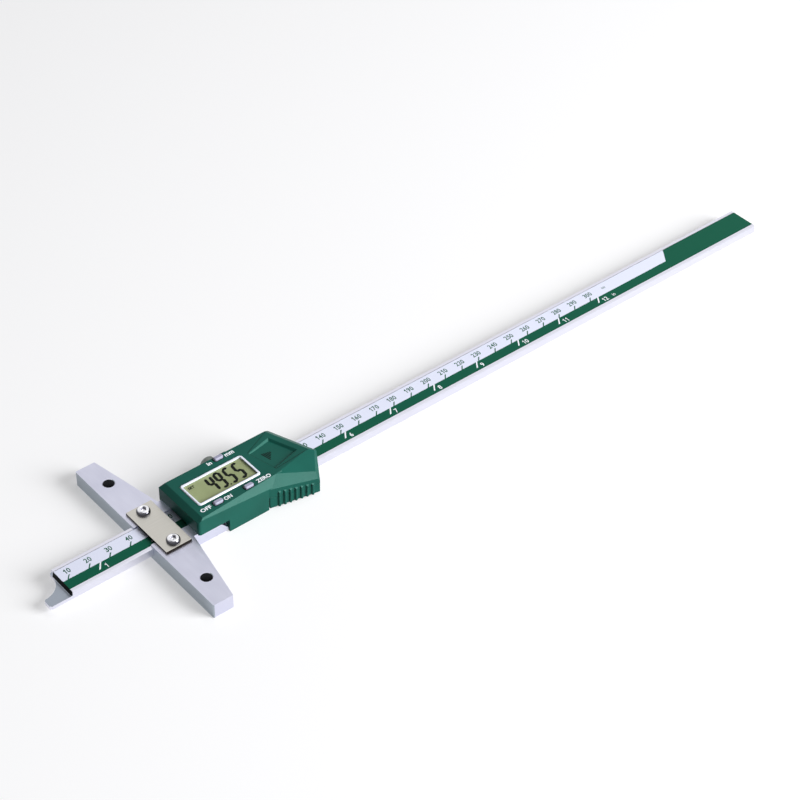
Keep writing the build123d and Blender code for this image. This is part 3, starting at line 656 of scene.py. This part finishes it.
# %% Print the millimetre scale
zero_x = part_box("beam")[0].x + 2.95 * MM
numeral_width = 1.46 * MM
numeral_pitch = 1.62 * MM
number_middle = 2.05 * MM
number_base = 1.85 * MM
last_value = 300
unit_left = zero_x + 310.9 * MM
stroke = slanted_stroke(width=0.72 * MM, height=2.1 * MM, slide=1.75 * MM)
shapes = numerals(numeral_width, height=2.7 * MM, bold=0.02)
prints = []
for value in range(10, last_value + 1, 10):
    x = zero_x + value * MM
    prints.append(copy_to(stroke, x, band_edge))
    span = numeral_width + (len(str(value)) - 1) * numeral_pitch
    prints += number(shapes, value, x + number_middle - span / 2, number_base, numeral_pitch)
prints.append(lettering("mm", unit_left, 2.0 * MM, 2.2 * MM, 1.2 * MM, film_top))
discard(stroke, *shapes.values())
millimetre_print = join(prints, "millimetre_print")
finish_piece(millimetre_print, green_print, "beam_slider")

# %% Print the inch scale
INCH = 25.4 * MM
last_inch = 12
inch_number_left = 0.3 * MM
inch_number_base = -5.4 * MM
inch_numeral_pitch = 1.7 * MM
stroke = slanted_stroke(width=0.75 * MM, height=-3.4 * MM, slide=-2.4 * MM)
shapes = numerals(1.5 * MM, height=2.6 * MM, bold=0.015)
prints = []
for value in range(1, last_inch + 1):
    x = zero_x + value * INCH
    prints.append(copy_to(stroke, x, band_edge))
    prints += number(shapes, value, x + inch_number_left, inch_number_base, inch_numeral_pitch)
prints.append(lettering("in", unit_left + 0.7 * MM, -4.9 * MM, 1.6 * MM, 1.9 * MM, film_top))
discard(stroke, *shapes.values())
inch_print = join(prints, "inch_print")
finish_piece(inch_print, white_print, "beam_slider")

# %% [markdown]
# ## Words beside the buttons
# The words are plain and white, printed on the flat roof of the housing. They are text objects
# turned into meshes, a little bolder than the font. Each is set from the box of its button, so
# it stays beside it: on its left where the gap is negative, and otherwise on its right.

# %% Print the words
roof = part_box("housing")[1].z


def word_beside(button, words, gap, lift, width, height):
    """White words next to a button, lifted a little from its near edge."""
    low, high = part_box(button)
    left = high.x + gap if gap > 0 else low.x + gap - width
    return lettering(words, left, low.y + lift, width, height, roof, bold=0.03)


words = [
    word_beside("unit_button", "in", -0.8 * MM, -0.25 * MM, 2.2 * MM, 2.0 * MM),
    word_beside("unit_button", "mm", 0.25 * MM, -0.25 * MM, 4.5 * MM, 1.75 * MM),
    word_beside("power_button", "OFF", -0.55 * MM, 0.05 * MM, 5.3 * MM, 2.1 * MM),
    word_beside("power_button", "ON", 0.2 * MM, 0.05 * MM, 3.85 * MM, 2.1 * MM),
    word_beside("zero_button", "ZERO", 1.4 * MM, 0.25 * MM, 7.1 * MM, 2.1 * MM),
]
button_words = join(words, "button_words")
finish_piece(button_words, white_print, "gauge")

# %% [markdown]
# ## Display face
# What the eye takes for the display is its polariser, which lies close under the window. The
# solid display is deeper down, where the frame would shade it, so a slab of polariser film is
# laid just under the window's top, a little smaller than the window.


# %% Lay the display face
def ease_edges(piece, cut, segments):
    """Bevel every edge of a block."""
    bpy.ops.object.mode_set(mode="EDIT")
    bpy.ops.mesh.select_all(action="SELECT")
    bpy.ops.mesh.bevel(offset=cut, segments=segments, affect="EDGES")
    bpy.ops.object.mode_set(mode="OBJECT")
    return piece


window_low, window_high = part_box("display_window")
face_margin = 0.2 * MM
face_thickness = 0.30 * MM
face_top = window_high.z - 0.14 * MM
display_face = block(
    (window_high.x - window_low.x - 2 * face_margin,
     window_high.y - window_low.y - 2 * face_margin, face_thickness),
    (*((window_low + window_high) / 2).xy, face_top - face_thickness / 2))
ease_edges(display_face, 0.04 * MM, 1)
display_face.name = "display_face"
finish_piece(display_face, polariser, "gauge")

# %% [markdown]
# ## Display digits
# The display shows the depth that the nose stands out. Its seven-segment digits are nearly black
# and lean a little. One segment is a bar with pointed ends, and each digit is a set of copies, as
# on a real display, where every digit has the same seven fields. The lean is given at the end, by
# sliding every point sideways in step with its height. Small letters at the left say that the
# zero was set.

# %% Make the digit ink
digit_black, shader = new_material("liquid_crystal_black", Roughness=0.5, Specular_IOR_Level=0.1)
depth_tone = speckle(digit_black, 2 * MM, detail=1.0)
feed(digit_black, shader, Base_Color=two_tone(digit_black, depth_tone, "#060806", "#0C0F0C"))
print("digit ink:", digit_black.name)


# %% Helpers for the segments
def trim_corners(bar, cut, segments):
    """Bevel the four upright edges of a thin bar."""
    bpy.ops.object.mode_set(mode="EDIT")
    bpy.ops.mesh.select_mode(type="EDGE")
    bpy.ops.mesh.select_all(action="DESELECT")
    bpy.ops.object.mode_set(mode="OBJECT")
    for edge in bar.data.edges:
        a, b = (bar.data.vertices[i].co for i in edge.vertices)
        edge.select = abs(a.z - b.z) > INK / 2
    bpy.ops.object.mode_set(mode="EDIT")
    bpy.ops.mesh.bevel(offset=cut, segments=segments, affect="EDGES")
    bpy.ops.object.mode_set(mode="OBJECT")
    return bar


def segment(length, width):
    """A thin bar along X whose corners are cut so far that its ends come to a point."""
    bar = thin_bar((-length / 2, 0), (length / 2, 0), width, face_top)
    return trim_corners(bar, width * 0.48, 1)


# %% Model the segments
digit_width = 3.76 * MM
digit_height = 10.5 * MM
stroke_width = 1.38 * MM
across = digit_width - stroke_width
rise = (digit_height - stroke_width) / 2
flat_bar = segment(across + stroke_width * 0.12, stroke_width)
tall_bar = segment(rise - stroke_width * 0.06, stroke_width)
tall_bar.data.transform(Matrix.Rotation(math.radians(90), 4, "Z"))
segments = {
    "a": (flat_bar, 0, 2 * rise), "g": (flat_bar, 0, rise), "d": (flat_bar, 0, 0),
    "f": (tall_bar, -across / 2, 1.5 * rise), "b": (tall_bar, across / 2, 1.5 * rise),
    "e": (tall_bar, -across / 2, 0.5 * rise), "c": (tall_bar, across / 2, 0.5 * rise),
}
print("segments:", "".join(sorted(segments)), "rise", round(rise / MM, 2), "mm")

# %% Build the reading
digit_lefts = (34.25 * MM, 38.5 * MM, 43.3 * MM, 48.0 * MM)
digit_base = -4.33 * MM
lean = 0.08
lit_segments = {"4": "bcfg", "9": "abcdfg", "5": "acdfg"}
bars = []
for left, digit in zip(digit_lefts, "4955"):
    for name in lit_segments[digit]:
        bar, x, y = segments[name]
        bars.append(copy_to(bar, left + digit_width / 2 + x, digit_base + stroke_width / 2 + y))
point = segment(1.0 * MM, 0.9 * MM)
point.data.transform(Matrix.Translation((digit_lefts[2] - 0.5 * MM, digit_base + 0.5 * MM, 0)))
bars.append(point)
bars.append(lettering("SET", 26.2 * MM, 3.95 * MM, 3.1 * MM, 1.6 * MM, face_top, bold=0.04))
discard(flat_bar, tall_bar)
reading_digits = join(bars, "reading_digits")
for vertex in reading_digits.data.vertices:
    vertex.co.x += lean * (vertex.co.y - digit_base)
finish_piece(reading_digits, digit_black, "gauge")

# %% [markdown]
# ## Joint of the battery cover
# The joint round the battery cover is a narrow gap that reads as a dark line. The solids have
# that gap, but it is too fine to hold its shadow at this distance, so thin black bars are laid
# along three sides of it.

# %% Make the matt black for ink and painted shade
# one matt black: ink for the arrow, and painted shade in the cover joint, round the buttons and at the
# strip's end
matt_black_and_painted_shade, shader = new_material("matt_black_ink_and_painted_shade", Roughness=0.7, Specular_IOR_Level=0.1)
bloom = speckle(matt_black_and_painted_shade, 1 * MM)
feed(matt_black_and_painted_shade, shader, Base_Color=two_tone(matt_black_and_painted_shade, bloom, "#060909", "#0E1413"))
print("matt black and painted shade:", matt_black_and_painted_shade.name)

# %% Draw the cover joint
joint_width = 0.17 * MM
cover_front_far = (59.12 * MM, 6.83 * MM)
cover_front_near = (62.84 * MM, -8.39 * MM)
cover_rear_near = (80.7 * MM, -7.03 * MM)
cover_rear_far = (73.2 * MM, 13.03 * MM)
cover_joint = join([
    thin_bar(cover_front_far, cover_front_near, joint_width * 0.5, roof),
    thin_bar(cover_front_near, cover_rear_near, joint_width, roof),
    thin_bar(cover_front_far, cover_rear_far, joint_width, roof),
], "cover_joint")
finish_piece(cover_joint, matt_black_and_painted_shade, "gauge")

# %% [markdown]
# ## Shade round the buttons
# Each button stands in an opening of the roof, and the gap round its cap lies in shade. A thin
# black pad with round ends, a little larger than the cap, paints that shade: the button stands
# through it and hides its middle, so it needs no hole.

# %% Make the painted shade round the buttons
# painted shade: a black pad round each cap stands for the shade in its gap
shade_ring_length = 5.3 * MM
shade_ring_width = 2.95 * MM
shade_rings = []
for name in ("unit_button", "power_button", "zero_button"):
    low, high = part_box(name)
    middle = (low + high) / 2
    pad = thin_bar((middle.x - shade_ring_length / 2, middle.y), (middle.x + shade_ring_length / 2, middle.y),
                   shade_ring_width, roof)
    shade_rings.append(trim_corners(pad, shade_ring_width * 0.42, 6))
button_shade_rings = join(shade_rings, "button_shade_rings")
finish_piece(button_shade_rings, matt_black_and_painted_shade, "gauge")

# %% [markdown]
# ## Hatched arrow in the thumb recess
# The recess of the battery cover carries an arrow that says which way it slides. It is pad-printed
# as five bars that shorten towards the tip, in a matt black ink that is the same material as the
# painted shade round the buttons. Each corner of a bar is dropped straight down onto the cover. So
# the bars lie on the sloping floor, and nobody has to know its angle.

# %% Print the arrow
bar_count = 5
arrow_tip = Vector((68.15 * MM, 2.15 * MM))
arrow_near = Vector((64.78 * MM, -2.07 * MM))
arrow_far = Vector((63.64 * MM, 3.18 * MM))
bars = []
for order in range(bar_count):
    share = order / bar_count
    start = arrow_near.lerp(arrow_tip, share)
    end = arrow_far.lerp(arrow_tip, share)
    bars.append(thin_bar(start, end, 0.52 * MM, roof))
cover_arrow = join(bars, "cover_arrow")
cover = nodes["battery_cover"]
for vertex in cover_arrow.data.vertices:
    spot = cover.ray_cast((vertex.co.x, vertex.co.y, 2 * roof), (0, 0, -1))[1]
    vertex.co.z += spot.z - roof + INK
finish_piece(cover_arrow, matt_black_and_painted_shade, "battery_cover")

# %% [markdown]
# ## Plate screws
# The two screws of the bridge plate have polished domed heads with a hexagon socket. A head is
# drawn out of one ring: it rises as a quarter of an ellipse to a flat land, turns down a small
# chamfer, and its inner ring is pressed to a hexagon and pushed in for the socket. A real head
# is forged in the same order, the dome first and then the socket. A ball cut flat would be
# quicker, but its shine would run in a plain circle.

# %% Work out the head's profile
head_radius = 3.05 * MM
land_radius = 1.95 * MM
head_height = 1.6 * MM
rim_height = 0.25 * MM
mouth_radius = 1.6 * MM
throat_radius = 1.45 * MM
throat_drop = 0.12 * MM
dome_steps = 8
profile = [(head_radius, rim_height)]
for step in range(1, dome_steps + 1):
    angle = math.radians(90 * step / dome_steps)
    profile.append((
        land_radius + (head_radius - land_radius) * math.cos(angle),
        rim_height + (head_height - rim_height) * math.sin(angle),
    ))
profile += [(mouth_radius, head_height), (throat_radius, head_height - throat_drop)]
print("head profile:", len(profile), "rings")

# %% Draw out the dome
deselect()
bpy.ops.mesh.primitive_circle_add(
    vertices=64, radius=head_radius, fill_type="NOTHING", location=(0, 0, 0))
head = bpy.context.object
bpy.ops.object.mode_set(mode="EDIT")
bpy.ops.mesh.select_all(action="SELECT")
radius = head_radius
level = 0.0
for next_radius, next_level in profile:
    bpy.ops.mesh.extrude_region_move(TRANSFORM_OT_translate={"value": (0, 0, next_level - level)})
    ratio = next_radius / radius
    bpy.ops.transform.resize(value=(ratio, ratio, 1))
    radius = next_radius
    level = next_level
bpy.ops.object.mode_set(mode="OBJECT")
print("dome:", len(head.data.polygons), "faces")

# %% Press the socket
socket_radius = 1.35 * MM
socket_depth = 0.8 * MM
drill_point = 0.2 * MM
hard_edged_inside = mouth_radius - 0.1 * MM
half_side = math.radians(30)
for vertex in [v for v in head.data.vertices if v.select]:
    off_middle = math.atan2(vertex.co.y, vertex.co.x) % (2 * half_side) - half_side
    reach = socket_radius * math.cos(half_side) / math.cos(off_middle)
    vertex.co.xy = vertex.co.xy.normalized() * reach
bpy.ops.object.mode_set(mode="EDIT")
bpy.ops.mesh.extrude_region_move(TRANSFORM_OT_translate={"value": (0, 0, -socket_depth)})
bpy.ops.mesh.extrude_region_move(TRANSFORM_OT_translate={"value": (0, 0, -drill_point)})
bpy.ops.transform.resize(value=(0.02, 0.02, 1))
bpy.ops.mesh.select_all(action="SELECT")
bpy.ops.mesh.normals_make_consistent(inside=False)
bpy.ops.object.mode_set(mode="OBJECT")
for face in head.data.polygons:
    face.use_smooth = face.center.z > rim_height and face.center.xy.length > hard_edged_inside
print("screw head:", len(head.data.polygons), "faces")

# %% Place the heads
cad_head_radius = 3.1 * MM
screws_low, screws_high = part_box("plate_screws")
plate_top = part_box("bridge_plate")[1].z
screw_x = (screws_low.x + screws_high.x) / 2
heads = [copy_to(head, screw_x, y, plate_top)
         for y in (screws_low.y + cad_head_radius, screws_high.y - cad_head_radius)]
discard(head)
plate_screw_heads = join(heads, "plate_screw_heads")
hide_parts("plate_screws")
finish_piece(plate_screw_heads, polished_steel, "gauge")

# %% [markdown]
# ## Threads in the base holes
# The two holes that take extension bases are threaded, and their threads are black as painted shade.
# A true thread is a helix, but down in a dark hole only its ridges show, so one ring with a
# four-sided section stands for a turn of the thread and is copied down each hole.

# %% Cut the threads
hole_x = 7.1 * MM
hole_y = 35.3 * MM
thread_pitch = 0.5 * MM
first_turn = 0.45 * MM
thread_turns = 14
deselect()
bpy.ops.mesh.primitive_torus_add(
    major_radius=2.48 * MM, minor_radius=0.33 * MM, major_segments=48, minor_segments=4,
    location=(0, 0, 0))
ring = bpy.context.object
rings = [copy_to(ring, hole_x, y, first_turn + thread_pitch * order)
         for y in (-hole_y, hole_y) for order in range(thread_turns)]
discard(ring)
base_threads = join(rings, "base_threads")
# painted shade: the thread rings darken the holes with the near-black oxide finish
finish_piece(base_threads, black_oxide_and_hole_shade, "gauge")

# %% [markdown]
# ## Knurl of the clamp screw
# The clamp screw's knob is straight-knurled: a toothed wheel is pressed into it and raises ridges
# along its length. One ridge is a bar on its edge, sunk into the knob, and copied round its axis.

# %% Knurl the knob
ridge_count = 44
ridge_size = 0.30 * MM
ridge_length = 5.2 * MM
knob_low, knob_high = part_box("lock_screw")
knob_middle = (knob_low + knob_high) / 2
knob_radius = (knob_high.z - knob_low.z) / 2
ridge = block((ridge_size, ridge_length, ridge_size),
              (0, knob_high.y - 3.1 * MM, knob_radius - 0.06 * MM), (0, math.radians(45), 0))
ridges = []
for order in range(ridge_count):
    twin = copy_to(ridge, 0, 0)
    twin.data.transform(Matrix.Rotation(math.tau * order / ridge_count, 4, "Y"))
    twin.data.transform(Matrix.Translation((knob_middle.x, 0, knob_middle.z)))
    ridges.append(twin)
discard(ridge)
knob_knurl = join(ridges, "knob_knurl")
finish_piece(knob_knurl, nickel_steel, "lock_screw")

# %% [markdown]
# ## Shade at the end of the strip
# The measuring strip ends above the step of the nose, and the corner under its cut end lies in
# shade. A black block paints that shade: it stands against the cut, its foot is drawn forward,
# and its edges are rounded. It takes the same matt black as the shade round the buttons and the
# ink of the arrow.

# %% Fill the corner
bead_depth = 0.28 * MM
bead_foot = 0.45 * MM
bead_low = Vector((film_low.x - bead_depth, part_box("beam")[0].y + 0.15 * MM, step_top + 0.05 * MM))
bead_high = Vector((film_low.x, film_high.y - 0.02 * MM, film_top - 0.07 * MM))
middle = (bead_low + bead_high) / 2
# painted shade: a black block in the corner under the strip's cut end
bead = block(bead_high - bead_low, middle)
for vertex in bead.data.vertices:
    if vertex.co.z < middle.z and vertex.co.x < middle.x:
        vertex.co.x -= bead_foot
ease_edges(bead, 0.08 * MM, 2)
bead.name = "strip_end_painted_shade"
finish_piece(bead, matt_black_and_painted_shade, "beam_slider")

# %% [markdown]
# ## Floor
# A plain pale floor takes the shadow. Its white could come from strong lamps, but these would
# bleach the gauge. So it comes from a glow of the paper that only the camera, a mirror or a clear
# piece sees, and that adds no light to the gauge.


# %% Lay the floor
def seen_directly(material):
    """1 for the rays of the camera, of reflections and through clear pieces, and otherwise 0."""
    path = add_node(material, "ShaderNodeLightPath").outputs
    seen = calculate(material, "MAXIMUM", path["Is Camera Ray"], path["Is Glossy Ray"])
    return calculate(material, "MAXIMUM", seen, path["Is Transmission Ray"])


deselect()
bpy.ops.mesh.primitive_plane_add(size=6, location=(0.15, 0, 0))
floor = bpy.context.object
floor.name = "floor"
floor_paper, shader = new_material("white_paper_sweep", Base_Color=colour("#C4C4C6"), Roughness=0.9,
                                   Specular_IOR_Level=0.0, Emission_Color=colour("#FFFFFF"))
glow_strength = 0.43
glow = calculate(floor_paper, "MULTIPLY", seen_directly(floor_paper), glow_strength)
feed(floor_paper, shader, Emission_Strength=glow)
floor.data.materials.append(floor_paper)
print("floor:", floor_paper.name)

# %% [markdown]
# ## White surround
# The surround is white to the sides and darker overhead, so that metal that faces straight up
# shows some form. It is bright only to the camera and to reflections. As a light it is weak.

# %% Make the surround
surround = bpy.data.worlds.new("surround")
bpy.context.scene.world = surround
surround.use_nodes = True
surround.node_tree.nodes.clear()
way_out = add_node(surround, "ShaderNodeTexCoord").outputs["Generated"]
steepness = add_node(surround, "ShaderNodeSeparateXYZ", {"Vector": way_out}).outputs["Z"]
background = add_node(surround, "ShaderNodeBackground", {
    "Color": two_tone(surround, steepness, "#FFFFFF", "#818184", 0.78, 0.92),
    "Strength": shine(surround, seen_directly(surround), 0.07, 1.0),
})
add_node(surround, "ShaderNodeOutputWorld", {"Surface": background.outputs["Background"]})
print("surround:", surround.name)

# %% [markdown]
# ## Lamps
# One large soft lamp stands on the near side, with a weak one above. The key lamp makes the near
# faces bright and leaves the faces towards the nose darker, which shows the form. Bare metal
# shows only what it mirrors, so the lamps are linked to the plastic, film and floor, and to the
# polished screw heads, where they make the small sharp lights: on the other metal they would add
# nothing but glare.


# %% Helpers for the lamps
lamp_target = Vector((80 * MM, 0, 0))


def soft_lamp(name, place, size, power):
    """A square area lamp that faces the housing."""
    data = bpy.data.lights.new(name, "AREA")
    data.shape = "SQUARE"
    data.size = size
    data.energy = power
    lamp = bpy.data.objects.new(name, data)
    lamp.location = place
    towards = lamp_target - Vector(place)
    lamp.rotation_euler = towards.to_track_quat("-Z", "Y").to_euler()
    bpy.context.scene.collection.objects.link(lamp)
    return lamp


def is_bare_metal(item):
    """Whether an object's finish is a metal that shows no lamp."""
    if item.name == "plate_screw_heads":
        return False
    shader = item.data.materials[0].node_tree.nodes.get("Principled BSDF")
    return shader.inputs["Metallic"].default_value > 0.5


# %% Light the scene
lit = bpy.data.collections.new("lit_by_lamps")
for item in bpy.context.scene.objects:
    if item.type == "MESH" and item.data.materials and not is_bare_metal(item):
        lit.objects.link(item)
key_lamp = soft_lamp("key_lamp", (1.15, -1.62, 1.00), size=1.3, power=92)
top_lamp = soft_lamp("top_lamp", (0.45, 0.10, 1.15), size=0.8, power=2.5)
for lamp in (key_lamp, top_lamp):
    lamp.light_linking.receiver_collection = lit
bpy.context.scene.view_settings.view_transform = "Standard"
